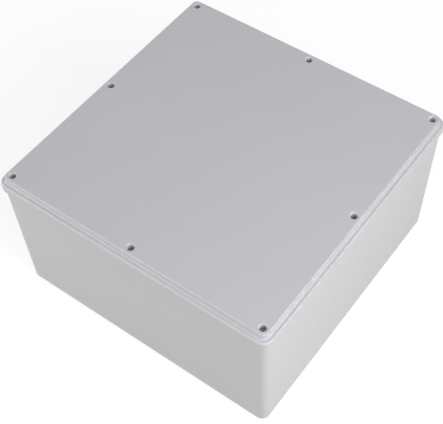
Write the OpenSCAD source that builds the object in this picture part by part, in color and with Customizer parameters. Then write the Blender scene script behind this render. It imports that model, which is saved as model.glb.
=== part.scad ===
// Square moulded box with a drafted tub, a flat lid and eight recessed lid screws.
// Millimetres. Origin at the centre of the underside, +Z up, front wall towards -Y.

/* [Overall] */
// Outside width and depth over the tub's rim
rim_size = 300; // [240:1:380]
// Height of the closed box
box_height = 156; // [90:1:240]
// Lean of each tub wall from the upright, in degrees
draft_angle = 1.5; // [0.5:0.25:2.5]

/* [Tub] */
// Thickness of the tub's walls
wall = 3.2; // [2.4:0.1:4]
// Thickness of the tub's floor
floor_thick = 3.4; // [2.6:0.1:5]
// Height of the rim around the tub's mouth
rim_height = 7.8; // [6:0.2:12]
// How far the rim stands out from the wall below it
rim_stand_out = 2.7; // [1.5:0.1:3.5]
// Corner radius of the rim, seen from above
rim_corner_r = 10.5; // [9.5:0.5:16]
// Rounding of the rim's top edge
rim_top_round = 2; // [1:0.1:2.8]
// Rounding of the rim's lower edge
rim_low_round = 0.9; // [0.4:0.1:1.2]
// Rounding of the tub's bottom edge
bottom_round = 2.5; // [1:0.1:3.5]
// Rounding where the floor meets the walls inside
inner_round = 2; // [1:0.1:3]
// Diameter of the dished gate mark under the floor
gate_d = 9; // [5:0.5:14]
// Depth of the dished gate mark
gate_depth = 0.6; // [0.3:0.1:1]

/* [Lid] */
// Step from the rim's outer face in to the foot of the lid's edge
lid_inset = 2.8; // [2.6:0.1:4]
// Height of the lid's visible edge
lid_edge_height = 6.5; // [5.5:0.1:9]
// Rounding of the lid's top edge
lid_edge_round = 1.7; // [1:0.1:3]
// How far the foot of the lid's edge stands out, under a cove of the same radius
lid_foot = 1.7; // [1:0.1:2]
// Thickness of that foot at its outer edge
lid_foot_thick = 0.4; // [0.3:0.1:1]
// Thickness of the lid's plate
lid_plate = 3.2; // [2.4:0.1:4]
// Thickness of the lid's edge wall at its foot
lid_skirt = 3.4; // [3:0.1:4]
// Thickness of the locating lip inside the lid's edge wall
lip_thick = 1.6; // [1.2:0.1:2.4]
// Gap between the locating lip and the tub's wall
lip_clearance = 0.3; // [0.2:0.05:0.6]
// Width of the stiffening ribs under the lid
rib_width = 1.8; // [1.2:0.1:2.6]
// Depth of the stiffening ribs under the lid
rib_depth = 3; // [1.5:0.1:4]
// Distance of each rib from the lid's centre line
rib_offset = 48; // [30:1:60]

/* [Lid screws] */
// Distance from the rim's outer face in to the screw axes
screw_inset = 11.5; // [11:0.1:13]
// Diameter of a screw's thread
screw_d = 2.9; // [2.5:0.1:3.1]
// Length of a screw under its head
screw_length = 12; // [10:1:16]
// Diameter of a screw's head
head_d = 5.5; // [5:0.1:6]
// Height of a screw's head
head_height = 2; // [1.6:0.1:2.6]
// Width of the cross slots in a screw's head
slot_width = 0.9; // [0.7:0.1:1.2]
// Depth of the cross slots in a screw's head
slot_depth = 1.2; // [0.8:0.1:1.3]
// Gap between a screw's head and its recess, all round
head_clearance = 0.2; // [0.15:0.05:0.5]
// Depth of the recess from the lid's top to the screw's seat
recess_depth = 7; // [6:0.1:8.5]
// Width of the bevel around the mouth of the recess
recess_bevel = 1.4; // [0.6:0.1:1.6]
// Gap between a screw's thread and its hole in the lid, all round
shank_clearance = 0.25; // [0.15:0.05:0.4]
// Thickness of the lid under a screw's head
seat_thick = 2.5; // [2:0.1:3.5]

/* [Screw bosses] */
// Diameter of the lid's screw collars and the tub's screw bosses
boss_d = 10; // [9:0.1:11]
// Thickness of the web that ties a boss to the wall
boss_web = 4.5; // [3:0.1:6]
// Gap between a lid collar and the boss under it
boss_gap = 0.2; // [0.1:0.05:0.4]
// Outer diameter of a threaded insert
insert_d = 4.6; // [4.2:0.1:5.2]
// Length of a threaded insert
insert_length = 6; // [4:0.5:8]
// Running gap between a screw's thread and its insert, all round
thread_clearance = 0.05; // [0.03:0.01:0.1]
// Free depth of the boss bore below the screw's tip
tip_clearance = 4; // [2:0.5:8]

/* [Mounting posts] */
// Distance from the screw axes in to the post axes
post_inset = 18.5; // [14:0.5:40]
// Diameter of a post
post_d = 9; // [8:0.5:11]
// Height of a post above the floor
post_height = 8; // [5:0.5:14]
// Diameter of the pilot hole in a post
pilot_d = 3.4; // [2.5:0.1:4.5]
// Depth of the pilot hole
pilot_depth = 7.5; // [4:0.5:8]
// Thickness of the gussets at a post's foot
gusset_thick = 1.6; // [1:0.1:2.2]
// Reach of the gussets beyond a post
gusset_reach = 3.5; // [2:0.5:6]

/* [Hidden] */

plastic = "#c3c4c9";
steel = "#8d8f92";
brass = "#c9a85a";

rim_half = rim_size / 2;
seat_z = box_height - lid_edge_height;
rim_low_z = seat_z - rim_height;
wall_corner_r = rim_corner_r - rim_stand_out;
inner_corner_r = max(wall_corner_r - wall, inner_round);
// The wall runs up inside the rim by this much, so that the two join solidly
rim_join = rim_height / 2;

lid_half = rim_half - lid_inset;
lid_corner_r = rim_corner_r - lid_inset;
lid_under_z = box_height - lid_plate;
skirt_inner_half = lid_half - lid_skirt;
skirt_inner_r = max(lid_corner_r - lid_skirt, 0.5);
lip_half = inner_half(seat_z) - lip_clearance;
lip_r = inner_corner_r - lip_clearance;
lip_inner_half = lip_half - lip_thick;
lip_inner_r = max(lip_r - lip_thick, 0.5);
// The collars, the lip and the ribs run up into the lid's plate by this much
plate_join = lid_plate / 2;

screw_seat_z = box_height - recess_depth;
collar_low_z = screw_seat_z - seat_thick;
boss_top_z = collar_low_z - boss_gap;
screw_tip_z = screw_seat_z - screw_length;
recess_d = head_d + 2 * head_clearance;
lid_hole_d = screw_d + 2 * shank_clearance;
insert_bore_d = screw_d + 2 * thread_clearance;
insert_low_z = boss_top_z - insert_length;
bore_low_z = min(screw_tip_z, insert_low_z) - tip_clearance;
// Ledge under an insert, all round
insert_ledge = 0.4;
tip_bore_d = insert_d - 2 * insert_ledge;
insert_waist = 0.35;
head_bevel = 0.4;
tip_bevel = 0.5;

screw_half = rim_half - screw_inset;
// Each screw's name and the side of the box it stands on, as signs of X and Y
SCREWS = [
    ["front_left", -1, -1],
    ["front", 0, -1],
    ["front_right", 1, -1],
    ["right", 1, 0],
    ["back_right", 1, 1],
    ["back", 0, 1],
    ["back_left", -1, 1],
    ["left", -1, 0]
];
post_half = screw_half - post_inset;
post_top_z = floor_thick + post_height;
POSTS = [for (x = [-post_half, post_half], y = [-post_half, post_half]) [x, y, 0]];

// Half the tub's outside width at a height: the walls lean out from the floor up
function outer_half(z) = rim_half - rim_stand_out - (rim_low_z - z) * tan(draft_angle);
function inner_half(z) = outer_half(z) - wall;

// Corner profile of a slab: a rectangle of radius by height with its outer edges rounded
module edge_profile(radius, height, top_round, low_round) {
    difference() {
        square([radius, height]);
        translate([radius - top_round, height - top_round]) difference() {
            square(2 * top_round);
            circle(top_round, $fn = 48);
        }
        translate([radius - low_round, low_round]) rotate(-90) difference() {
            square(2 * low_round);
            circle(low_round, $fn = 48);
        }
    }
}

// Edge profile of the lid: a rounded top edge, an upright side and a cove out to a thin foot
module lid_edge_profile(radius) {
    side = radius - lid_foot;
    cove_top = lid_foot_thick + lid_foot;
    difference() {
        square([side, lid_edge_height]);
        translate([side - lid_edge_round, lid_edge_height - lid_edge_round]) difference() {
            square(2 * lid_edge_round);
            circle(lid_edge_round, $fn = 48);
        }
    }
    difference() {
        square([radius, cove_top]);
        translate([radius, cove_top]) circle(lid_foot, $fn = 48);
    }
}

// Square slab with round corners whose edge follows the profile given as its child
module edged_slab(half, radius, height) {
    flat = half - radius;
    translate([-flat, -flat, 0]) cube([2 * flat, 2 * flat, height]);
    for (turn = [0:90:270]) rotate(turn) {
        translate([flat, flat, 0])
            rotate_extrude(angle = 90, $fn = 48)
                children();
        translate([flat, flat, 0])
            rotate([90, 0, 0])
                linear_extrude(2 * flat)
                    children();
    }
}

// Square outline with round corners
module round_square(half, radius) {
    square([2 * half, 2 * (half - radius)], center = true);
    square([2 * (half - radius), 2 * half], center = true);
    for (x = [-1, 1], y = [-1, 1])
        translate([x * (half - radius), y * (half - radius)]) circle(radius, $fn = 48);
}

// Corner puck with a rounded lower edge, used as the foot of a leaning shell
module puck(radius, low_round) {
    rotate_extrude($fn = 32) difference() {
        square([radius, low_round]);
        translate([radius - low_round, low_round]) rotate(-90) difference() {
            square(2 * low_round);
            circle(low_round, $fn = 32);
        }
    }
}

// Solid with leaning walls: round corners of one radius from the foot to the top
module leaning_block(low_half, top_half, low_z, top_z, radius, low_round) {
    hull() for (x = [-1, 1], y = [-1, 1]) {
        translate([x * (low_half - radius), y * (low_half - radius), low_z])
            puck(radius, low_round);
        translate([x * (top_half - radius), y * (top_half - radius), top_z - 0.01])
            cylinder(h = 0.01, r = radius, $fn = 32);
    }
}

module at_screw(s) {
    translate([s[1] * screw_half, s[2] * screw_half, 0]) rotate(atan2(s[2], s[1])) children();
}

// One boss of the tub with the web that ties it to the wall
module screw_boss(s) {
    at_screw(s) {
        cylinder(h = boss_top_z, d = boss_d, $fn = 48);
        translate([0, -boss_web / 2, 0]) cube([boss_d, boss_web, boss_top_z]);
    }
}

// Bore of one boss: the insert's seat and the free depth for the screw's tip
module boss_bore(s) {
    at_screw(s) {
        translate([0, 0, insert_low_z]) cylinder(h = box_height, d = insert_d, $fn = 48);
        translate([0, 0, bore_low_z]) cylinder(h = box_height, d = tip_bore_d, $fn = 48);
    }
}

// Post for a circuit board or mounting plate, with four gussets at its foot
module post() {
    gusset_height = post_height * 0.75;
    cylinder(h = post_top_z, d = post_d, $fn = 48);
    for (turn = [45:90:315]) rotate(turn)
        translate([0, gusset_thick / 2, floor_thick]) rotate([90, 0, 0]) linear_extrude(gusset_thick)
            polygon([
                [0, -floor_thick / 2],
                [post_d / 2 + gusset_reach, -floor_thick / 2],
                [post_d / 2 + gusset_reach, 0],
                [post_d / 2 - 0.5, gusset_height],
                [0, gusset_height]
            ]);
}

// Dished mark with a low nub where the tub was filled in its mould
module gate_mark() {
    difference() {
        translate([0, 0, -gate_depth]) cylinder(h = 2 * gate_depth, d = gate_d, $fn = 48);
        cylinder(h = gate_depth, d1 = gate_d / 4, d2 = gate_d / 3, $fn = 48);
    }
}

module base() {
    color(plastic) difference() {
        union() {
            difference() {
                union() {
                    leaning_block(outer_half(0), outer_half(rim_low_z + rim_join), 0,
                        rim_low_z + rim_join, wall_corner_r, bottom_round);
                    translate([0, 0, rim_low_z])
                        edged_slab(rim_half, rim_corner_r, rim_height)
                            edge_profile(rim_corner_r, rim_height, rim_top_round, rim_low_round);
                }
                difference() {
                    leaning_block(inner_half(floor_thick), inner_half(box_height), floor_thick,
                        box_height, inner_corner_r, inner_round);
                    for (s = SCREWS) screw_boss(s);
                }
            }
            for (p = POSTS) translate(p) post();
        }
        for (s = SCREWS) boss_bore(s);
        for (p = POSTS) translate(p) translate([0, 0, post_top_z - pilot_depth])
            cylinder(h = box_height, d = pilot_d, $fn = 48);
        gate_mark();
    }
}

// Locating lip's outline, drawn up from its low edge into the plate
module lip_block(half, radius, low_z) {
    translate([0, 0, low_z]) linear_extrude(lid_under_z + plate_join - low_z)
        round_square(half, radius);
}

// Screw collars of the lid, from the plate down to just above the bosses, inside the lip's face
module screw_collars() {
    intersection() {
        lip_block(lip_half, lip_r, collar_low_z);
        for (s = SCREWS) at_screw(s) cylinder(h = box_height, d = boss_d, $fn = 48);
    }
}

// Recess for one screw: bevelled mouth, head recess and clearance hole
module screw_recess(s) {
    at_screw(s) {
        translate([0, 0, screw_seat_z]) cylinder(h = recess_depth + 1, d = recess_d, $fn = 48);
        translate([0, 0, collar_low_z - 1]) cylinder(h = box_height, d = lid_hole_d, $fn = 48);
        translate([0, 0, box_height - recess_bevel])
            cylinder(h = 2 * recess_bevel, d1 = recess_d, d2 = recess_d + 4 * recess_bevel, $fn = 48);
    }
}

module lid() {
    color(plastic) difference() {
        union() {
            difference() {
                translate([0, 0, seat_z])
                    edged_slab(lid_half, lid_corner_r, lid_edge_height)
                        lid_edge_profile(lid_corner_r);
                translate([0, 0, seat_z - 1]) linear_extrude(lid_under_z - seat_z + 1)
                    round_square(skirt_inner_half, skirt_inner_r);
            }
            difference() {
                lip_block(lip_half, lip_r, collar_low_z);
                lip_block(lip_inner_half, lip_inner_r, collar_low_z - lid_plate);
            }
            screw_collars();
            for (turn = [0, 90], x = [-rib_offset, rib_offset]) rotate(turn)
                translate([x - rib_width / 2, -lip_inner_half - lip_thick / 2, lid_under_z - rib_depth])
                    cube([rib_width, 2 * lip_inner_half + lip_thick, rib_depth + plate_join]);
        }
        for (s = SCREWS) screw_recess(s);
    }
}

module lid_screw(s) {
    slot_reach = head_d * 0.55;
    color(steel) at_screw(s) difference() {
        union() {
            translate([0, 0, screw_seat_z])
                cylinder(h = head_height - head_bevel, d = head_d, $fn = 48);
            translate([0, 0, screw_seat_z + head_height - head_bevel])
                cylinder(h = head_bevel, d1 = head_d, d2 = head_d - 2 * head_bevel, $fn = 48);
            translate([0, 0, screw_tip_z + tip_bevel])
                cylinder(h = screw_length, d = screw_d, $fn = 48);
            translate([0, 0, screw_tip_z])
                cylinder(h = tip_bevel, d1 = screw_d - 2 * tip_bevel, d2 = screw_d, $fn = 48);
        }
        for (turn = [0, 90]) rotate(turn)
            translate([-slot_reach / 2, -slot_width / 2, screw_seat_z + head_height - slot_depth])
                cube([slot_reach, slot_width, 2 * slot_depth]);
    }
}

module threaded_insert(s) {
    color(brass) at_screw(s) difference() {
        translate([0, 0, insert_low_z]) cylinder(h = insert_length, d = insert_d, $fn = 48);
        translate([0, 0, insert_low_z - 1]) cylinder(h = insert_length + 2, d = insert_bore_d, $fn = 48);
        translate([0, 0, insert_low_z + insert_length * 0.4]) difference() {
            cylinder(h = insert_length * 0.2, d = 2 * insert_d, $fn = 48);
            cylinder(h = insert_length, d = insert_d - 2 * insert_waist, center = true, $fn = 48);
        }
    }
}

base();
lid();
for (s = SCREWS) {
    lid_screw(s);
    threaded_insert(s);
}
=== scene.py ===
"""Square moulded project box: a drafted tub, a flat lid and eight lid screws in brass inserts."""

import math

import bmesh
import bpy
from mathutils import Matrix, Vector


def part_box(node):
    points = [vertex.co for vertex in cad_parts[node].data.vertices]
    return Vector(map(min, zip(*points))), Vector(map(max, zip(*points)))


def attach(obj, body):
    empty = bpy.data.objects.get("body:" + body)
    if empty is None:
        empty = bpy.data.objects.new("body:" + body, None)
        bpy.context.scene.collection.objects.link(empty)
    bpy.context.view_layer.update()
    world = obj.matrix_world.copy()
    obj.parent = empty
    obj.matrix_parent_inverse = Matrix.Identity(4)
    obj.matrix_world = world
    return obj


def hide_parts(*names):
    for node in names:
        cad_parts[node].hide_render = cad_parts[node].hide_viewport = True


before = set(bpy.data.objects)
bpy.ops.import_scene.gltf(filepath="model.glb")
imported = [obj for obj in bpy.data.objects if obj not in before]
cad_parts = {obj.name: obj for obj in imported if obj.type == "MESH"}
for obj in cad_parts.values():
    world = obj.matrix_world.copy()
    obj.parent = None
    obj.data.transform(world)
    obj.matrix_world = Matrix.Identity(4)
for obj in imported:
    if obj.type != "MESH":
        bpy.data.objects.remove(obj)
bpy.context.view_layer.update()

MM = 0.001
# Places this close together count as one when faces and edges are picked
TINY = 0.02 * MM
# Points this close together are merged
WELD = MM / 1000
# How far the foot of a fillet runs into the face it stands on, so that the two join cleanly
SUNK = 0.05 * MM
# How far a cutter runs past the face that it cuts through
OVERRUN = 1 * MM
# A bevelled edge this small takes the sharpness off the top of a boss or a post
TOP_BEVEL = 0.3 * MM

# -------------------------------------------------------------------------------------------------
# Sizes and places: taken from the frame where it gives them, and named in millimetres where it does not
# -------------------------------------------------------------------------------------------------

tub_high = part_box("base")[1]
lid_low, lid_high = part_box("lid")
screw_low, screw_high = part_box("lid_screw_front")
insert_low, insert_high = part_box("insert_front")

SITES = [name.removeprefix("lid_screw_") for name in sorted(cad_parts) if name.startswith("lid_screw_")]

RIM_HALF = tub_high.x
SEAT_Z = tub_high.z
LID_HALF = lid_high.x
LID_TOP_Z = lid_high.z
LIP_LOW_Z = lid_low.z

DRAFT = math.tan(math.radians(1.5))
WALL = 3.2 * MM
FLOOR_Z = 3.4 * MM
RIM_HEIGHT = 7.8 * MM
RIM_STAND_OUT = 2.7 * MM
RIM_CORNER_R = 10.5 * MM
RIM_TOP_ROUND = 2.0 * MM
RIM_LOW_ROUND = 0.9 * MM
BOTTOM_ROUND = 2.5 * MM
INNER_ROUND = 2.0 * MM
RIM_LOW_Z = SEAT_Z - RIM_HEIGHT
INNER_CORNER_R = RIM_CORNER_R - RIM_STAND_OUT - WALL

LID_CORNER_R = RIM_CORNER_R - (RIM_HALF - LID_HALF)
LID_EDGE_ROUND = 1.7 * MM
LID_EDGE_STEPS = 8
LID_FOOT = 1.7 * MM
LID_FOOT_THICK = 0.4 * MM
LID_UNDER_Z = LID_TOP_Z - 3.2 * MM
LID_UNDER_ROUND = 0.6 * MM
LID_UNDER_STEPS = 3
COLLAR_FOOT_ROUND = 0.8 * MM
LIP_CLEARANCE = 0.3 * MM
LIP_THICK = 1.6 * MM
RIB_WIDTH = 1.8 * MM
RIB_DEPTH = 3.0 * MM
RIB_OFFSET = 48 * MM

HEAD_R = (screw_high.x - screw_low.x) / 2
HEAD_TOP_Z = screw_high.z
HEAD_HEIGHT = 2.0 * MM
SCREW_SEAT_Z = HEAD_TOP_Z - HEAD_HEIGHT
SCREW_TIP_Z = screw_low.z
THREAD_R = 1.45 * MM
THREAD_ROOT_R = 1.2 * MM
THREAD_PITCH = 0.5 * MM
THREAD_FLANK = 0.42 * THREAD_PITCH
THREAD_CREST = 0.08 * THREAD_PITCH
THREAD_STEPS = 20
TIP_BEVEL = 0.5 * MM
TIP_BEVEL_HEIGHT = 0.55 * MM
SHANK_SUNK = 0.5 * MM
HEAD_DOME = 0.55 * MM
HEAD_LOW_BEVEL = 0.3 * MM
RECESS_R = HEAD_R + 0.2 * MM
RECESS_BEVEL = 1.4 * MM
RECESS_SOFT = 0.25 * MM
LID_HOLE_R = 1.7 * MM

INSERT_R = (insert_high.x - insert_low.x) / 2
INSERT_LOW_Z = insert_low.z
BOSS_TOP_Z = insert_high.z
INSERT_BORE_R = 1.5 * MM
INSERT_THREAD_DEPTH = 0.22 * MM
INSERT_WAIST_DEPTH = 0.35 * MM
INSERT_BEVEL = 0.25 * MM
KNURL_SCALE = 0.94
BOSS_R = 5.0 * MM
BOSS_FOOT_ROUND = 1.5 * MM
BOSS_WEB = 4.5 * MM
BOSS_WEB_LOW_Z = 1 * MM
BOSS_WEB_HIGH_Z = BOSS_TOP_Z - 0.5 * MM
TIP_BORE_R = INSERT_R - 0.4 * MM
BORE_LOW_Z = SCREW_TIP_Z - 4.0 * MM

POST_HALF = 120 * MM
POST_R = 4.5 * MM
POST_TOP_Z = FLOOR_Z + 8.0 * MM
POST_FOOT_ROUND = 0.8 * MM
PILOT_R = 1.7 * MM
PILOT_DEPTH = 7.5 * MM
GUSSET_THICK = 1.6 * MM
GUSSET_REACH = 3.5 * MM
GUSSET_HEIGHT = 6.0 * MM
GUSSET_TOP_REACH = POST_R - 0.5 * MM
GUSSET_TURNS = (45, 135)
GATE_R = 4.5 * MM
GATE_DEPTH = 0.6 * MM

CORNER_STEPS = 12
EDGE_STEPS = 6
FILLET_STEPS = 5
TURNED_STEPS = 48
# Edges that turn in by more than this, in radians, lie along an inner corner
INNER_CORNER_TURN = -0.5
# Edges that turn by more than these, in degrees, stay sharp when a piece is smoothed
MOULDING_SHARP = 35
SCREW_SHARP = 40
INSERT_SHARP = 30


def inner_half(height):
    """Half the width of the tub's cavity at a height: its walls lean out from the floor up."""
    return RIM_HALF - RIM_STAND_OUT - WALL - (RIM_LOW_Z - height) * DRAFT


def screw_axis(site):
    """Point on the floor plane below one lid screw."""
    low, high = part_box("lid_screw_" + site)
    middle = (low + high) / 2
    return Vector((middle.x, middle.y, 0))


def screw_turn(site):
    """Angle from +X of the wall or corner that one lid screw stands beside."""
    axis = screw_axis(site)
    side_x = round(axis.x / RIM_HALF)
    side_y = round(axis.y / RIM_HALF)
    return math.atan2(side_y, side_x)


# -------------------------------------------------------------------------------------------------
# Hand tools: those that pick, round, step or lean work on the piece that open_edit has opened
# -------------------------------------------------------------------------------------------------

def take(piece):
    """Selects one piece and nothing else."""
    bpy.ops.object.select_all(action="DESELECT")
    piece.select_set(True)
    bpy.context.view_layer.objects.active = piece


def open_edit(piece):
    """Opens a piece for edit with nothing selected."""
    take(piece)
    bpy.ops.object.mode_set(mode="EDIT")
    bpy.ops.mesh.select_all(action="DESELECT")


def close_edit():
    """Ends the edit of the open piece."""
    bpy.ops.object.mode_set(mode="OBJECT")


def pick(kind, test):
    """Selects the vertices, edges or faces of the open piece that pass a test."""
    bpy.ops.mesh.select_mode(type=kind)
    bpy.ops.mesh.select_all(action="DESELECT")
    mesh = bpy.context.object.data
    shape = bmesh.from_edit_mesh(mesh)
    parts = {"VERT": shape.verts, "EDGE": shape.edges, "FACE": shape.faces}[kind]
    for part in parts:
        if test(part):
            part.select_set(True)
    shape.select_flush_mode()
    bmesh.update_edit_mesh(mesh)


def pick_level_face(level):
    """Selects the flat faces that lie at a level."""
    pick("FACE", lambda face: all(abs(v.co.z - level) < TINY for v in face.verts))


def block(name, half_x, half_y, low_z, high_z):
    """An upright block round the Z axis."""
    bpy.ops.object.select_all(action="DESELECT")
    bpy.ops.mesh.primitive_cube_add(
        size=1, location=(0, 0, (low_z + high_z) / 2), scale=(2 * half_x, 2 * half_y, high_z - low_z))
    piece = bpy.context.object
    piece.name = name
    bpy.ops.object.transform_apply(location=True, rotation=True, scale=True)
    return piece


def round_uprights(radius):
    """Rounds the upright edges of the open block."""
    pick("EDGE", lambda edge: (edge.verts[0].co - edge.verts[1].co).xy.length < TINY)
    bpy.ops.mesh.bevel(offset=radius, segments=CORNER_STEPS, affect="EDGES", clamp_overlap=False)


def round_level_face(level, radius, steps=EDGE_STEPS):
    """Rounds the edges all round the flat face at a level."""
    pick_level_face(level)
    bpy.ops.mesh.bevel(offset=radius, segments=steps, affect="EDGES", clamp_overlap=False)


def round_inner_corner(level, radius):
    """Fills the inner corner all round a step at a level with a cove."""
    pick("EDGE", lambda edge: all(abs(v.co.z - level) < TINY for v in edge.verts)
         and edge.calc_face_angle_signed() < INNER_CORNER_TURN)
    bpy.ops.mesh.bevel(offset=radius, segments=LID_EDGE_STEPS, affect="EDGES", clamp_overlap=False)


def step_in_and_draw(level, step, travel):
    """Insets the flat face at a level and draws it up or down."""
    pick_level_face(level)
    bpy.ops.mesh.inset(thickness=step, use_even_offset=True)
    bpy.ops.mesh.extrude_region_move(TRANSFORM_OT_translate={"value": (0, 0, travel)})


def lean_corners(level, inward):
    """Slides the four corners of the outline at a level in by one amount, so that the walls lean."""
    for side_x in (-1, 1):
        for side_y in (-1, 1):
            pick("VERT", lambda v: abs(v.co.z - level) < TINY
                 and v.co.x * side_x > 0 and v.co.y * side_y > 0)
            bpy.ops.transform.translate(value=(-side_x * inward, -side_y * inward, 0))


def turned(name, outline, turn=0.0):
    """A solid of revolution: an outline of (radius, height) points, from the axis round to the axis.
    The turn, in steps, keeps the edges of a bore out of line with those of the boss that it is cut in."""
    out = Matrix.Rotation(2 * math.pi * turn / TURNED_STEPS, 3, "Z") @ Vector((1, 0, 0))
    bpy.ops.object.select_all(action="DESELECT")
    bpy.ops.mesh.primitive_plane_add(size=MM)
    piece = bpy.context.object
    piece.name = name
    bpy.ops.object.mode_set(mode="EDIT")
    bpy.ops.mesh.select_mode(type="VERT")
    bpy.ops.mesh.select_all(action="SELECT")
    bpy.ops.mesh.merge(type="CENTER")
    here = Vector((0, 0, 0))
    for number, (radius, height) in enumerate(outline):
        there = out * radius + Vector((0, 0, height))
        if number == 0:
            bpy.ops.transform.translate(value=there - here)
        else:
            bpy.ops.mesh.extrude_vertices_move(TRANSFORM_OT_translate={"value": there - here})
        here = there
    bpy.ops.mesh.select_all(action="SELECT")
    bpy.ops.mesh.spin(steps=TURNED_STEPS, angle=2 * math.pi, center=(0, 0, 0), axis=(0, 0, 1))
    bpy.ops.mesh.select_all(action="SELECT")
    bpy.ops.mesh.remove_doubles(threshold=WELD)
    bpy.ops.mesh.normals_make_consistent(inside=False)
    close_edit()
    return piece


def copies_at(piece, places):
    """One copy of a piece at each place, a point and a turn about Z. The first piece is used up."""
    made = []
    for point, turn in places:
        take(piece)
        bpy.ops.object.duplicate()
        copy = bpy.context.object
        copy.location = point
        copy.rotation_euler.z = turn
        bpy.ops.object.transform_apply(location=True, rotation=True, scale=True)
        made.append(copy)
    take(piece)
    bpy.ops.object.delete()
    return made


def joined(pieces):
    """Several loose pieces as one object."""
    take(pieces[0])
    for piece in pieces:
        piece.select_set(True)
    bpy.ops.object.join()
    return bpy.context.object


def combine(piece, tool, operation):
    """Adds a tool to a piece (UNION), cuts it away (DIFFERENCE) or keeps what both fill (INTERSECT)."""
    take(piece)
    bpy.ops.object.modifier_add(type="BOOLEAN")
    cut = piece.modifiers[-1]
    cut.object = tool
    cut.operation = operation
    cut.solver = "EXACT"
    bpy.ops.object.modifier_apply(modifier=cut.name)
    take(tool)
    bpy.ops.object.delete()


def smooth(piece, sharp_degrees):
    """Smooths a piece's rounded stretches and keeps its flat faces flat."""
    take(piece)
    bpy.ops.object.shade_smooth_by_angle(angle=math.radians(sharp_degrees))
    bpy.ops.object.modifier_add(type="WEIGHTED_NORMAL")
    weights = piece.modifiers[-1]
    weights.keep_sharp = True
    bpy.ops.object.modifier_apply(modifier=weights.name)


def dress(piece, material, body, slot, *nodes):
    """Gives a finished piece its material and the body it rides on, and hides the frame nodes that it
    stands for.
    """
    piece.data.materials.clear()
    piece.data.materials.append(material)
    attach(piece, body)
    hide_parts(*nodes)


def fillet(corner_r, corner_z, radius, toward_r, toward_z):
    """Points of a quarter round at a corner of a turned outline. toward_* are its centre's signs."""
    centre_r = corner_r + toward_r * radius
    centre_z = corner_z + toward_z * radius
    points = []
    for i in range(FILLET_STEPS + 1):
        angle = math.pi / 2 * i / FILLET_STEPS
        points.append((centre_r - toward_r * radius * math.cos(angle),
                       centre_z - toward_z * radius * math.sin(angle)))
    return points


# -------------------------------------------------------------------------------------------------
# Tub: a rimmed blank, hollowed by a core that leaves its bosses and posts standing
# -------------------------------------------------------------------------------------------------

def tub_blank():
    """The outside of the tub, still solid: the rim, the leaning walls and the rounded foot."""
    blank = block("moulded_tub", RIM_HALF, RIM_HALF, RIM_LOW_Z, SEAT_Z)
    open_edit(blank)
    round_uprights(RIM_CORNER_R)
    round_level_face(SEAT_Z, RIM_TOP_ROUND)
    round_level_face(RIM_LOW_Z, RIM_LOW_ROUND)
    step_in_and_draw(RIM_LOW_Z, RIM_STAND_OUT - RIM_LOW_ROUND, -RIM_LOW_Z)
    lean_corners(0, RIM_LOW_Z * DRAFT)
    round_level_face(0, BOTTOM_ROUND)
    close_edit()
    return blank


def screw_boss():
    """A boss with a filleted foot and the web that ties it to the wall, standing on the axis."""
    foot = fillet(BOSS_R, FLOOR_Z - SUNK, BOSS_FOOT_ROUND, 1, 1)
    outline = [(0, 0), (BOSS_R + BOSS_FOOT_ROUND, 0)] + foot[::-1]
    outline += [(BOSS_R, BOSS_TOP_Z - TOP_BEVEL), (BOSS_R - TOP_BEVEL, BOSS_TOP_Z), (0, BOSS_TOP_Z)]
    boss = turned("screw_boss", outline)
    web = block("boss_web", BOSS_R, BOSS_WEB / 2, BOSS_WEB_LOW_Z, BOSS_WEB_HIGH_Z)
    web.location.x = BOSS_R
    take(web)
    bpy.ops.object.transform_apply(location=True, rotation=True, scale=True)
    combine(boss, web, "UNION")
    return boss


def mounting_post():
    """A post for a circuit board with four gussets at its foot, standing on the axis."""
    foot = fillet(POST_R, FLOOR_Z - SUNK, POST_FOOT_ROUND, 1, 1)
    outline = [(0, 0), (POST_R + POST_FOOT_ROUND, 0)] + foot[::-1]
    outline += [(POST_R, POST_TOP_Z - TOP_BEVEL), (POST_R - TOP_BEVEL, POST_TOP_Z), (0, POST_TOP_Z)]
    post = turned("mounting_post", outline)
    reach = POST_R + GUSSET_REACH
    for turn in GUSSET_TURNS:
        gusset = block("post_gusset", reach, GUSSET_THICK / 2, FLOOR_Z - SUNK, FLOOR_Z + GUSSET_HEIGHT)
        open_edit(gusset)
        pick_level_face(FLOOR_Z + GUSSET_HEIGHT)
        bpy.ops.transform.resize(value=(GUSSET_TOP_REACH / reach, 1, 1))
        close_edit()
        gusset.rotation_euler.z = math.radians(turn)
        take(gusset)
        bpy.ops.object.transform_apply(location=True, rotation=True, scale=True)
        combine(post, gusset, "UNION")
    return post


def tub_core(sites, post_places):
    """The space inside the tub, with room left for the bosses and the posts."""
    top_z = LID_TOP_Z
    core = block("tub_core", inner_half(top_z), inner_half(top_z), FLOOR_Z, top_z)
    open_edit(core)
    round_uprights(INNER_CORNER_R)
    lean_corners(FLOOR_Z, (top_z - FLOOR_Z) * DRAFT)
    round_level_face(FLOOR_Z, INNER_ROUND)
    close_edit()
    combine(core, joined(copies_at(screw_boss(), sites)), "DIFFERENCE")
    combine(core, joined(copies_at(mounting_post(), post_places)), "DIFFERENCE")
    return core


def boss_bore():
    """The bore of a boss: the insert's seat and the free depth for the screw's tip."""
    mouth = 0.2 * MM
    return turned("boss_bore", [
        (0, BORE_LOW_Z),
        (TIP_BORE_R, BORE_LOW_Z),
        (TIP_BORE_R, INSERT_LOW_Z),
        (INSERT_R, INSERT_LOW_Z),
        (INSERT_R, BOSS_TOP_Z - mouth),
        (INSERT_R + 2 * mouth, BOSS_TOP_Z + mouth),
        (INSERT_R + 2 * mouth, LID_TOP_Z),
        (0, LID_TOP_Z),
    ], turn=0.5)


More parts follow.
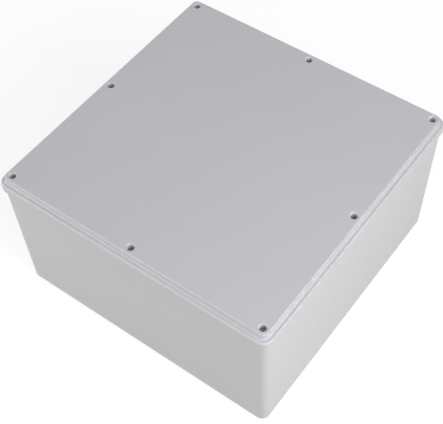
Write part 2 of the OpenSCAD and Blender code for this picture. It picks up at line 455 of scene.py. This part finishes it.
def pilot_hole():
    """The pilot hole of a post, with a bevelled mouth."""
    mouth = 0.3 * MM
    return turned("pilot_hole", [
        (0, POST_TOP_Z - PILOT_DEPTH),
        (PILOT_R, POST_TOP_Z - PILOT_DEPTH + PILOT_R / 3),
        (PILOT_R, POST_TOP_Z - mouth),
        (PILOT_R + 2 * mouth, POST_TOP_Z + mouth),
        (PILOT_R + 2 * mouth, POST_TOP_Z + POST_R),
        (0, POST_TOP_Z + POST_R),
    ], turn=0.5)


def gate_dish():
    """The dished mark under the floor, round a low nub, where the tub was filled in its mould."""
    nub_r = 1.3 * MM
    return turned("gate_dish", [
        (0, -OVERRUN),
        (GATE_R, -OVERRUN),
        (GATE_R, 0),
        (GATE_R - 0.2 * MM, GATE_DEPTH * 0.7),
        (GATE_R - 0.6 * MM, GATE_DEPTH),
        (nub_r + 0.4 * MM, GATE_DEPTH),
        (nub_r, GATE_DEPTH * 0.8),
        (nub_r * 0.8, GATE_DEPTH * 0.15),
        (0, GATE_DEPTH * 0.1),
    ], turn=0.5)


def moulded_tub():
    """The whole tub: its blank, less the core, the bores, the pilot holes and the gate mark."""
    sites = [(screw_axis(site), screw_turn(site)) for site in SITES]
    posts = [(Vector((x, y, 0)), 0) for x in (-POST_HALF, POST_HALF) for y in (-POST_HALF, POST_HALF)]
    tub = tub_blank()
    combine(tub, tub_core(sites, posts), "DIFFERENCE")
    combine(tub, joined(copies_at(boss_bore(), sites)), "DIFFERENCE")
    combine(tub, joined(copies_at(pilot_hole(), posts)), "DIFFERENCE")
    combine(tub, gate_dish(), "DIFFERENCE")
    smooth(tub, MOULDING_SHARP)
    return tub


# -------------------------------------------------------------------------------------------------
# Lid: a plate with a rounded edge and a locating lip, hollowed from below and bored from above
# -------------------------------------------------------------------------------------------------

def lid_blank():
    """The outside of the lid, still solid: a thin foot, a cove and rounded edge above it, a lip below."""
    foot_top_z = SEAT_Z + LID_FOOT_THICK
    lip_half = inner_half(SEAT_Z) - LIP_CLEARANCE
    blank = block("moulded_lid", LID_HALF, LID_HALF, SEAT_Z, foot_top_z)
    open_edit(blank)
    round_uprights(LID_CORNER_R)
    step_in_and_draw(foot_top_z, LID_FOOT, LID_TOP_Z - foot_top_z)
    round_level_face(LID_TOP_Z, LID_EDGE_ROUND, LID_EDGE_STEPS)
    round_inner_corner(foot_top_z, LID_FOOT - TINY)
    step_in_and_draw(SEAT_Z, LID_HALF - lip_half, LIP_LOW_Z - SEAT_Z)
    close_edit()
    return blank


def lid_pocket(sites):
    """The space under the lid's plate, with room left for the screw collars and the ribs."""
    half = inner_half(SEAT_Z) - LIP_CLEARANCE - LIP_THICK
    low_z = LIP_LOW_Z - OVERRUN
    pocket = block("lid_pocket", half, half, low_z, LID_UNDER_Z)
    open_edit(pocket)
    round_uprights(INNER_CORNER_R - LIP_CLEARANCE - LIP_THICK)
    round_level_face(LID_UNDER_Z, LID_UNDER_ROUND, LID_UNDER_STEPS)
    close_edit()
    foot = fillet(BOSS_R, LID_UNDER_Z + SUNK, COLLAR_FOOT_ROUND, 1, -1)
    collar = turned("screw_collar", [(0, low_z - OVERRUN), (BOSS_R, low_z - OVERRUN)] + foot + [
        (BOSS_R + COLLAR_FOOT_ROUND, LID_TOP_Z),
        (0, LID_TOP_Z),
    ])
    combine(pocket, joined(copies_at(collar, sites)), "DIFFERENCE")
    for half_x, half_y in ((RIB_WIDTH / 2, half + WALL), (half + WALL, RIB_WIDTH / 2)):
        for side in (-1, 1):
            rib = block("lid_rib", half_x, half_y, LID_UNDER_Z - RIB_DEPTH, LID_TOP_Z)
            axis = 0 if half_x < half_y else 1
            rib.location[axis] = side * RIB_OFFSET
            take(rib)
            bpy.ops.object.transform_apply(location=True, rotation=True, scale=True)
            combine(pocket, rib, "DIFFERENCE")
    return pocket


def screw_recess():
    """The recess for one screw: a bevelled, softened mouth, the head's bore and the clearance hole."""
    soft = RECESS_SOFT
    mouth_r = RECESS_R + RECESS_BEVEL
    return turned("screw_recess", [
        (0, LIP_LOW_Z - OVERRUN),
        (LID_HOLE_R, LIP_LOW_Z - OVERRUN),
        (LID_HOLE_R, SCREW_SEAT_Z),
        (RECESS_R, SCREW_SEAT_Z),
        (RECESS_R, LID_TOP_Z - RECESS_BEVEL - soft),
        (RECESS_R + 0.3 * soft, LID_TOP_Z - RECESS_BEVEL + 0.2 * soft),
        (RECESS_R + 1.2 * soft, LID_TOP_Z - RECESS_BEVEL + 1.2 * soft),
        (mouth_r - 1.2 * soft, LID_TOP_Z - 1.2 * soft),
        (mouth_r - 0.2 * soft, LID_TOP_Z - 0.3 * soft),
        (mouth_r + soft, LID_TOP_Z),
        (mouth_r + soft, LID_TOP_Z + OVERRUN),
        (0, LID_TOP_Z + OVERRUN),
    ], turn=0.5)


def moulded_lid():
    """The whole lid: its blank, less the pocket below and the screw recesses."""
    sites = [(screw_axis(site), screw_turn(site)) for site in SITES]
    lid = lid_blank()
    combine(lid, lid_pocket(sites), "DIFFERENCE")
    combine(lid, joined(copies_at(screw_recess(), sites)), "DIFFERENCE")
    smooth(lid, MOULDING_SHARP)
    return lid


# -------------------------------------------------------------------------------------------------
# Lid screws and inserts
# -------------------------------------------------------------------------------------------------

def thread_helix(name, root_r, crest_r, low_z, high_z):
    """A closed cylinder with a helical thread between two heights."""
    turns = math.ceil((high_z - low_z) / THREAD_PITCH)
    bpy.ops.object.select_all(action="DESELECT")
    bpy.ops.mesh.primitive_plane_add(size=MM)
    helix = bpy.context.object
    helix.name = name
    bpy.ops.object.mode_set(mode="EDIT")
    bpy.ops.mesh.select_mode(type="VERT")
    bpy.ops.mesh.select_all(action="SELECT")
    bpy.ops.mesh.merge(type="CENTER")
    bpy.ops.transform.translate(value=(root_r, 0, low_z))
    root = THREAD_PITCH - 2 * THREAD_FLANK - THREAD_CREST
    depth = crest_r - root_r
    for step_r, step_z in ((depth, THREAD_FLANK), (0, THREAD_CREST), (-depth, THREAD_FLANK), (0, root)):
        bpy.ops.mesh.extrude_vertices_move(TRANSFORM_OT_translate={"value": (step_r, 0, step_z)})
    close_edit()
    bpy.ops.object.modifier_add(type="SCREW")
    wind = helix.modifiers[-1]
    wind.steps = THREAD_STEPS
    wind.render_steps = THREAD_STEPS
    wind.screw_offset = THREAD_PITCH
    wind.iterations = turns
    bpy.ops.object.modifier_apply(modifier=wind.name)
    open_edit(helix)
    bpy.ops.mesh.select_all(action="SELECT")
    bpy.ops.mesh.remove_doubles(threshold=WELD)
    middle_z = (low_z + high_z) / 2
    for side in (-1, 1):
        pick("EDGE", lambda edge: edge.is_boundary and (edge.verts[0].co.z - middle_z) * side > 0)
        bpy.ops.mesh.edge_face_add()
    bpy.ops.mesh.select_all(action="SELECT")
    bpy.ops.mesh.normals_make_consistent(inside=False)
    close_edit()
    return helix


def cross_slot():
    """The tapered cross in a screw's head."""
    depth = 1.2 * MM
    half_length = HEAD_R * 0.55
    half_width = 0.45 * MM
    foot_length_share = 0.45
    foot_width_share = 0.7
    bars = []
    for turn in (0, 90):
        bar = block("cross_bar", half_length, half_width, HEAD_TOP_Z - depth, HEAD_TOP_Z + depth)
        open_edit(bar)
        pick_level_face(HEAD_TOP_Z - depth)
        bpy.ops.transform.resize(value=(foot_length_share, foot_width_share, 1))
        close_edit()
        bar.rotation_euler.z = math.radians(turn)
        take(bar)
        bpy.ops.object.transform_apply(location=True, rotation=True, scale=True)
        bars.append(bar)
    combine(bars[0], bars[1], "UNION")
    return bars[0]


def cross_screw():
    """A cheese-head screw on the Z axis: rounded head, cross slot and a true helical thread."""
    start_z = SCREW_TIP_Z - THREAD_PITCH
    thread = thread_helix("cross_screw", THREAD_ROOT_R, THREAD_R, start_z, SCREW_SEAT_Z)
    shank = turned("shank_limit", [
        (0, SCREW_TIP_Z),
        (THREAD_R - TIP_BEVEL, SCREW_TIP_Z),
        (THREAD_R + TINY, SCREW_TIP_Z + TIP_BEVEL_HEIGHT),
        (THREAD_R + TINY, SCREW_SEAT_Z + SHANK_SUNK),
        (0, SCREW_SEAT_Z + SHANK_SUNK),
    ])
    combine(thread, shank, "INTERSECT")
    head = turned("screw_head", [
        (0, SCREW_SEAT_Z),
        (HEAD_R - HEAD_LOW_BEVEL / 2, SCREW_SEAT_Z),
        (HEAD_R, SCREW_SEAT_Z + HEAD_LOW_BEVEL / 2),
    ] + fillet(HEAD_R, HEAD_TOP_Z, HEAD_DOME, -1, -1) + [(0, HEAD_TOP_Z)])
    combine(thread, head, "UNION")
    combine(thread, cross_slot(), "DIFFERENCE")
    smooth(thread, SCREW_SHARP)
    return thread


def threaded_insert():
    """A knurled brass insert on the Z axis: two knurled bands, a plain waist and a threaded bore."""
    waist_r = INSERT_R - INSERT_WAIST_DEPTH
    height = BOSS_TOP_Z - INSERT_LOW_Z
    waist_low_z = INSERT_LOW_Z + 0.4 * height
    waist_high_z = INSERT_LOW_Z + 0.6 * height
    insert = turned("threaded_insert", [
        (0, INSERT_LOW_Z),
        (INSERT_R - INSERT_BEVEL, INSERT_LOW_Z),
        (INSERT_R, INSERT_LOW_Z + INSERT_BEVEL),
        (INSERT_R, waist_low_z),
        (waist_r, waist_low_z),
        (waist_r, waist_high_z),
        (INSERT_R, waist_high_z),
        (INSERT_R, BOSS_TOP_Z - INSERT_BEVEL),
        (INSERT_R - INSERT_BEVEL, BOSS_TOP_Z),
        (0, BOSS_TOP_Z),
    ])
    open_edit(insert)
    tooth = 2 * math.pi / TURNED_STEPS

    def in_a_groove(v):
        """True for every second line of points round the two bands."""
        index = round(math.atan2(v.co.y, v.co.x) / tooth)
        return v.co.xy.length > INSERT_R - TINY and index % 2 == 1

    pick("VERT", in_a_groove)
    bpy.ops.transform.resize(value=(KNURL_SCALE, KNURL_SCALE, 1), center_override=(0, 0, 0))
    close_edit()
    past = 2 * THREAD_PITCH
    bore = thread_helix("insert_bore", INSERT_BORE_R, INSERT_BORE_R + INSERT_THREAD_DEPTH,
                        INSERT_LOW_Z - past, BOSS_TOP_Z + past)
    combine(insert, bore, "DIFFERENCE")
    smooth(insert, INSERT_SHARP)
    return insert


# -------------------------------------------------------------------------------------------------
# Finishes
# -------------------------------------------------------------------------------------------------

TUB_GREY = (0.540, 0.535, 0.542)
LID_GREY = (0.529, 0.522, 0.558)
STEEL_GREY = (0.32, 0.32, 0.33)
BRASS_YELLOW = (0.62, 0.45, 0.18)
PLASTIC_VARIATION = 0.012
PLASTIC_ROUGHNESS = 0.46
PLASTIC_ROUGHNESS_SPREAD = 0.03
PLASTIC_IOR = 1.5
PLASTIC_BUMP = 0.25
PLASTIC_BUMP_HEIGHT = 0.06 * MM
METAL_POLISH_PER_METRE = 900.0
METAL_DRIFT_PER_METRE = 160.0
METAL_ROUGHNESS_SPREAD = 0.08
METAL_BUMP = 0.3
METAL_BUMP_HEIGHT = 0.04 * MM
# Shares of the fine grain and the slow drift in the shade of the plastic, and of the ripple in its height
GRAIN_IN_SHADE = 0.35
DRIFT_IN_SHADE = 0.65
RIPPLE_IN_HEIGHT = 0.5
# Most of a noise lies between these two values
NOISE_LOW = 0.3
NOISE_HIGH = 0.7


def node_at(tree, kind, **inputs):
    """A new node with its inputs set by name, or joined where the value is another node's output."""
    node = tree.nodes.new(kind)
    for name, value in inputs.items():
        socket = node.inputs[name.replace("_", " ")]
        if isinstance(value, bpy.types.NodeSocket):
            tree.links.new(value, socket)
        else:
            socket.default_value = value
    return node


def math_node(tree, operation, first, second):
    """One step of arithmetic between two values or outputs."""
    node = tree.nodes.new("ShaderNodeMath")
    node.operation = operation
    for socket, value in zip(node.inputs, (first, second)):
        if isinstance(value, bpy.types.NodeSocket):
            tree.links.new(value, socket)
        else:
            socket.default_value = value
    return node.outputs[0]


def new_group(name, inputs, outputs):
    """An empty node group with named inputs (with their defaults) and outputs."""
    group = bpy.data.node_groups.new(name, "ShaderNodeTree")
    for label, kind, default in inputs:
        socket = group.interface.new_socket(label, in_out="INPUT", socket_type=kind)
        if default is not None:
            socket.default_value = default
    for label, kind in outputs:
        group.interface.new_socket(label, in_out="OUTPUT", socket_type=kind)
    return group, group.nodes.new("NodeGroupInput").outputs, group.nodes.new("NodeGroupOutput").inputs


def mould_surface_group():
    """The skin of a satin moulding: a fine even grain, a faint ripple, slow drifts in shade and gloss."""
    group, given, result = new_group(
        "mould_surface",
        (("Point", "NodeSocketVector", None), ("Grain per metre", "NodeSocketFloat", 2200.0),
         ("Ripple per metre", "NodeSocketFloat", 130.0), ("Drift per metre", "NodeSocketFloat", 9.0)),
        (("Shade", "NodeSocketFloat"), ("Gloss", "NodeSocketFloat"), ("Height", "NodeSocketFloat")))
    point = given["Point"]
    grain = node_at(group, "ShaderNodeTexNoise", Vector=point, Scale=given["Grain per metre"],
                    Detail=2.0, Roughness=0.55)
    ripple = node_at(group, "ShaderNodeTexNoise", Vector=point, Scale=given["Ripple per metre"],
                     Detail=1.0, Roughness=0.4)
    drift = node_at(group, "ShaderNodeTexNoise", Vector=point, Scale=given["Drift per metre"],
                    Detail=3.0, Roughness=0.5)
    speck = math_node(group, "MULTIPLY", grain.outputs["Fac"], GRAIN_IN_SHADE)
    slow = math_node(group, "MULTIPLY", drift.outputs["Fac"], DRIFT_IN_SHADE)
    group.links.new(math_node(group, "ADD", speck, slow), result["Shade"])
    group.links.new(ripple.outputs["Fac"], result["Gloss"])
    swell = math_node(group, "MULTIPLY", ripple.outputs["Fac"], RIPPLE_IN_HEIGHT)
    group.links.new(math_node(group, "ADD", grain.outputs["Fac"], swell), result["Height"])
    return group


def new_material(name):
    """A node material with its Principled shader and the piece's own coordinates."""
    material = bpy.data.materials.new(name)
    material.use_nodes = True
    tree = material.node_tree
    shader = tree.nodes["Principled BSDF"]
    point = tree.nodes.new("ShaderNodeTexCoord").outputs["Object"]
    return material, tree, shader, point


def blend_colours(tree, amount, dark, light):
    """A colour between two colours."""
    mix = tree.nodes.new("ShaderNodeMix")
    mix.data_type = "RGBA"
    tree.links.new(amount, mix.inputs["Factor"])
    mix.inputs["A"].default_value = (*dark, 1)
    mix.inputs["B"].default_value = (*light, 1)
    return mix.outputs["Result"]


def scale_range(tree, value, low, high):
    """Stretches the middle of a noise over a range."""
    ramp = node_at(tree, "ShaderNodeMapRange", Value=value, From_Min=NOISE_LOW, From_Max=NOISE_HIGH,
                   To_Min=low, To_Max=high)
    return ramp.outputs["Result"]


def shades_of(colour, variation):
    """A darker and a lighter shade of a colour."""
    return [[channel * (1 + change) for channel in colour] for change in (-variation, variation)]


def satin_plastic(name, colour, surface):
    """Light grey moulded plastic with a satin, finely grained skin."""
    material, tree, shader, point = new_material(name)
    skin = tree.nodes.new("ShaderNodeGroup")
    skin.node_tree = surface
    tree.links.new(point, skin.inputs["Point"])
    dark, light = shades_of(colour, PLASTIC_VARIATION)
    shade = scale_range(tree, skin.outputs["Shade"], 0, 1)
    tree.links.new(blend_colours(tree, shade, dark, light), shader.inputs["Base Color"])
    smoothest = PLASTIC_ROUGHNESS - PLASTIC_ROUGHNESS_SPREAD
    roughest = PLASTIC_ROUGHNESS + PLASTIC_ROUGHNESS_SPREAD
    gloss = scale_range(tree, skin.outputs["Gloss"], smoothest, roughest)
    tree.links.new(gloss, shader.inputs["Roughness"])
    bump = node_at(tree, "ShaderNodeBump", Height=skin.outputs["Height"], Strength=PLASTIC_BUMP,
                   Distance=PLASTIC_BUMP_HEIGHT)
    tree.links.new(bump.outputs["Normal"], shader.inputs["Normal"])
    shader.inputs["IOR"].default_value = PLASTIC_IOR
    return material


def polished_metal(name, colour, variation, roughness):
    """Metal with a fine, uneven polish and a slight drift in colour."""
    material, tree, shader, point = new_material(name)
    polish = node_at(tree, "ShaderNodeTexNoise", Vector=point, Scale=METAL_POLISH_PER_METRE, Detail=3.0)
    drift = node_at(tree, "ShaderNodeTexNoise", Vector=point, Scale=METAL_DRIFT_PER_METRE, Detail=2.0)
    dark, light = shades_of(colour, variation)
    shade = scale_range(tree, drift.outputs["Fac"], 0, 1)
    tree.links.new(blend_colours(tree, shade, dark, light), shader.inputs["Base Color"])
    smoothest = roughness - METAL_ROUGHNESS_SPREAD
    roughest = roughness + METAL_ROUGHNESS_SPREAD
    gloss = scale_range(tree, polish.outputs["Fac"], smoothest, roughest)
    tree.links.new(gloss, shader.inputs["Roughness"])
    bump = node_at(tree, "ShaderNodeBump", Height=polish.outputs["Fac"], Strength=METAL_BUMP,
                   Distance=METAL_BUMP_HEIGHT)
    tree.links.new(bump.outputs["Normal"], shader.inputs["Normal"])
    shader.inputs["Metallic"].default_value = 1.0
    return material


# -------------------------------------------------------------------------------------------------
# The box
# -------------------------------------------------------------------------------------------------

mould_surface = mould_surface_group()
tub_plastic = satin_plastic("tub_plastic", TUB_GREY, mould_surface)
lid_plastic = satin_plastic("lid_plastic", LID_GREY, mould_surface)
screw_steel = polished_metal("screw_steel", STEEL_GREY, variation=0.10, roughness=0.38)
insert_brass = polished_metal("insert_brass", BRASS_YELLOW, variation=0.08, roughness=0.34)

dress(moulded_tub(), tub_plastic, "tub", "base_plastic", "base")
dress(moulded_lid(), lid_plastic, "lid", "lid_plastic", "lid")
axes = [(screw_axis(site), 0) for site in SITES]
for site, screw in zip(SITES, copies_at(cross_screw(), axes)):
    screw.name = "cross_screw_" + site
    dress(screw, screw_steel, "screw_" + site, "screw_steel", "lid_screw_" + site)
for site, insert in zip(SITES, copies_at(threaded_insert(), axes)):
    insert.name = "brass_insert_" + site
    dress(insert, insert_brass, "tub", "insert_brass", "insert_" + site)


# -------------------------------------------------------------------------------------------------
# Studio: camera, lamps, floor and white surroundings
# -------------------------------------------------------------------------------------------------

VIEW_AZIMUTH = math.radians(37.3)
VIEW_ELEVATION = math.radians(51.57)
VIEW_ROLL = math.radians(-1.79)
VIEW_DISTANCE = 0.9774
VIEW_RIGHT = 0.0093
VIEW_UP = -0.0410
LENS = 86.19
SHIFT_X = -0.033
SHIFT_Y = -0.047
# Even light from all round, against the full white that the eye and reflections see
WORLD_LIGHT = 0.20
FLOOR_SIZE = 8
# The floor lies this far below the box, and is clear to rays that start closer to it than FLOOR_CONTACT
FLOOR_DROP = 0.2 * MM
FLOOR_CONTACT = 0.6 * MM
# A low shade keeps the light that the floor throws back low, and its glow makes up for that to the eye.
# The glow grows from the box out to the fade's radius
FLOOR_SHADE = 0.35
FLOOR_NEAR_GLOW = 0.73
FLOOR_FAR_GLOW = 0.94
FLOOR_FADE = 2.5
FLOOR_NEAR_SHARE = 0.8
# Name, degrees round from the front, degrees up, distance and size in metres, and power in watts
SOFTBOXES = (
    ("left_softbox", 300, 10, 1.6, 0.9, 13.1),
    ("front_softbox", 330, 10, 1.6, 0.9, 6.3),
    ("low_softbox", 60, 10, 1.6, 0.9, 7.7),
    ("right_softbox", 90, 30, 1.6, 0.9, 13.0),
    ("corner_softbox", 60, 50, 0.9, 0.5, 1.92),
    ("back_softbox", 225, 45, 1.8, 1.4, 5.0),
)


def direction(azimuth, elevation):
    """Unit vector from the box towards a point round it. Azimuth 0 is in front and 90 to the right."""
    flat = math.cos(elevation)
    return Vector((math.sin(azimuth) * flat, -math.cos(azimuth) * flat, math.sin(elevation)))


def studio_camera():
    """The camera, over the front corner, aimed by its offset from the middle of the lid's top."""
    back = direction(VIEW_AZIMUTH, VIEW_ELEVATION)
    level = Vector((math.cos(VIEW_AZIMUTH), math.sin(VIEW_AZIMUTH), 0))
    upright = back.cross(level)
    right = level * math.cos(VIEW_ROLL) + upright * math.sin(VIEW_ROLL)
    up = back.cross(right)
    place = Vector((0, 0, LID_TOP_Z)) + back * VIEW_DISTANCE + right * VIEW_RIGHT + up * VIEW_UP
    data = bpy.data.cameras.new("studio_camera")
    data.lens = LENS
    data.shift_x = SHIFT_X
    data.shift_y = SHIFT_Y
    camera = bpy.data.objects.new("studio_camera", data)
    bpy.context.scene.collection.objects.link(camera)
    camera.matrix_world = Matrix.Translation(place) @ Matrix((right, up, back)).transposed().to_4x4()
    bpy.context.scene.camera = camera


def softbox(name, azimuth, elevation, distance, size, power):
    """A square soft lamp aimed at the middle of the box."""
    data = bpy.data.lights.new(name, "AREA")
    data.shape = "SQUARE"
    data.size = size
    data.energy = power
    lamp = bpy.data.objects.new(name, data)
    bpy.context.scene.collection.objects.link(lamp)
    toward = direction(math.radians(azimuth), math.radians(elevation))
    lamp.location = Vector((0, 0, LID_TOP_Z / 2)) + toward * distance
    lamp.rotation_euler = toward.to_track_quat("Z", "Y").to_euler()


def white_floor():
    """A pale floor with a soft shadow, white out to its edge, clear from below and to what rests on it."""
    bpy.ops.object.select_all(action="DESELECT")
    bpy.ops.mesh.primitive_plane_add(size=FLOOR_SIZE, location=(0, 0, -FLOOR_DROP))
    floor = bpy.context.object
    floor.name = "studio_floor"
    material = bpy.data.materials.new("white_floor")
    material.use_nodes = True
    tree = material.node_tree
    tree.nodes.clear()
    matt = node_at(tree, "ShaderNodeBsdfDiffuse", Color=(FLOOR_SHADE, FLOOR_SHADE, FLOOR_SHADE, 1))
    point = tree.nodes.new("ShaderNodeTexCoord").outputs["Object"]
    near = node_at(tree, "ShaderNodeMapping", Vector=point, Scale=[1 / FLOOR_FADE] * 3)
    nearness = node_at(tree, "ShaderNodeTexGradient", Vector=near.outputs["Vector"])
    nearness.gradient_type = "SPHERICAL"
    level = node_at(tree, "ShaderNodeMapRange", Value=nearness.outputs["Fac"], From_Min=0.0,
                    From_Max=FLOOR_NEAR_SHARE, To_Min=FLOOR_FAR_GLOW, To_Max=FLOOR_NEAR_GLOW)
    path = tree.nodes.new("ShaderNodeLightPath")
    seen = math_node(tree, "MAXIMUM", path.outputs["Is Camera Ray"], path.outputs["Is Glossy Ray"])
    strength = math_node(tree, "MULTIPLY", seen, level.outputs["Result"])
    glow = node_at(tree, "ShaderNodeEmission", Color=(1, 1, 1, 1), Strength=strength)
    lit = tree.nodes.new("ShaderNodeAddShader")
    tree.links.new(matt.outputs[0], lit.inputs[0])
    tree.links.new(glow.outputs[0], lit.inputs[1])
    clear = tree.nodes.new("ShaderNodeBsdfTransparent")
    facing = tree.nodes.new("ShaderNodeNewGeometry")
    touching = math_node(tree, "LESS_THAN", path.outputs["Ray Length"], FLOOR_CONTACT)
    below = tree.nodes.new("ShaderNodeMixShader")
    tree.links.new(math_node(tree, "MAXIMUM", facing.outputs["Backfacing"], touching), below.inputs[0])
    tree.links.new(lit.outputs[0], below.inputs[1])
    tree.links.new(clear.outputs[0], below.inputs[2])
    out = tree.nodes.new("ShaderNodeOutputMaterial")
    tree.links.new(below.outputs[0], out.inputs["Surface"])
    floor.data.materials.append(material)


def white_world():
    """Even light all round, seen as white by the eye and in reflections."""
    world = bpy.data.worlds.new("white_world")
    world.use_nodes = True
    tree = world.node_tree
    tree.nodes.clear()
    even = node_at(tree, "ShaderNodeBackground", Color=(1, 1, 1, 1), Strength=WORLD_LIGHT)
    white = node_at(tree, "ShaderNodeBackground", Color=(1, 1, 1, 1), Strength=1.0)
    path = tree.nodes.new("ShaderNodeLightPath")
    mix = tree.nodes.new("ShaderNodeMixShader")
    seen = math_node(tree, "MAXIMUM", path.outputs["Is Camera Ray"], path.outputs["Is Glossy Ray"])
    tree.links.new(seen, mix.inputs[0])
    tree.links.new(even.outputs[0], mix.inputs[1])
    tree.links.new(white.outputs[0], mix.inputs[2])
    out = tree.nodes.new("ShaderNodeOutputWorld")
    tree.links.new(mix.outputs[0], out.inputs["Surface"])
    bpy.context.scene.world = world


studio_camera()
white_floor()
white_world()
for settings in SOFTBOXES:
    softbox(*settings)
bpy.context.scene.view_settings.view_transform = "Standard"
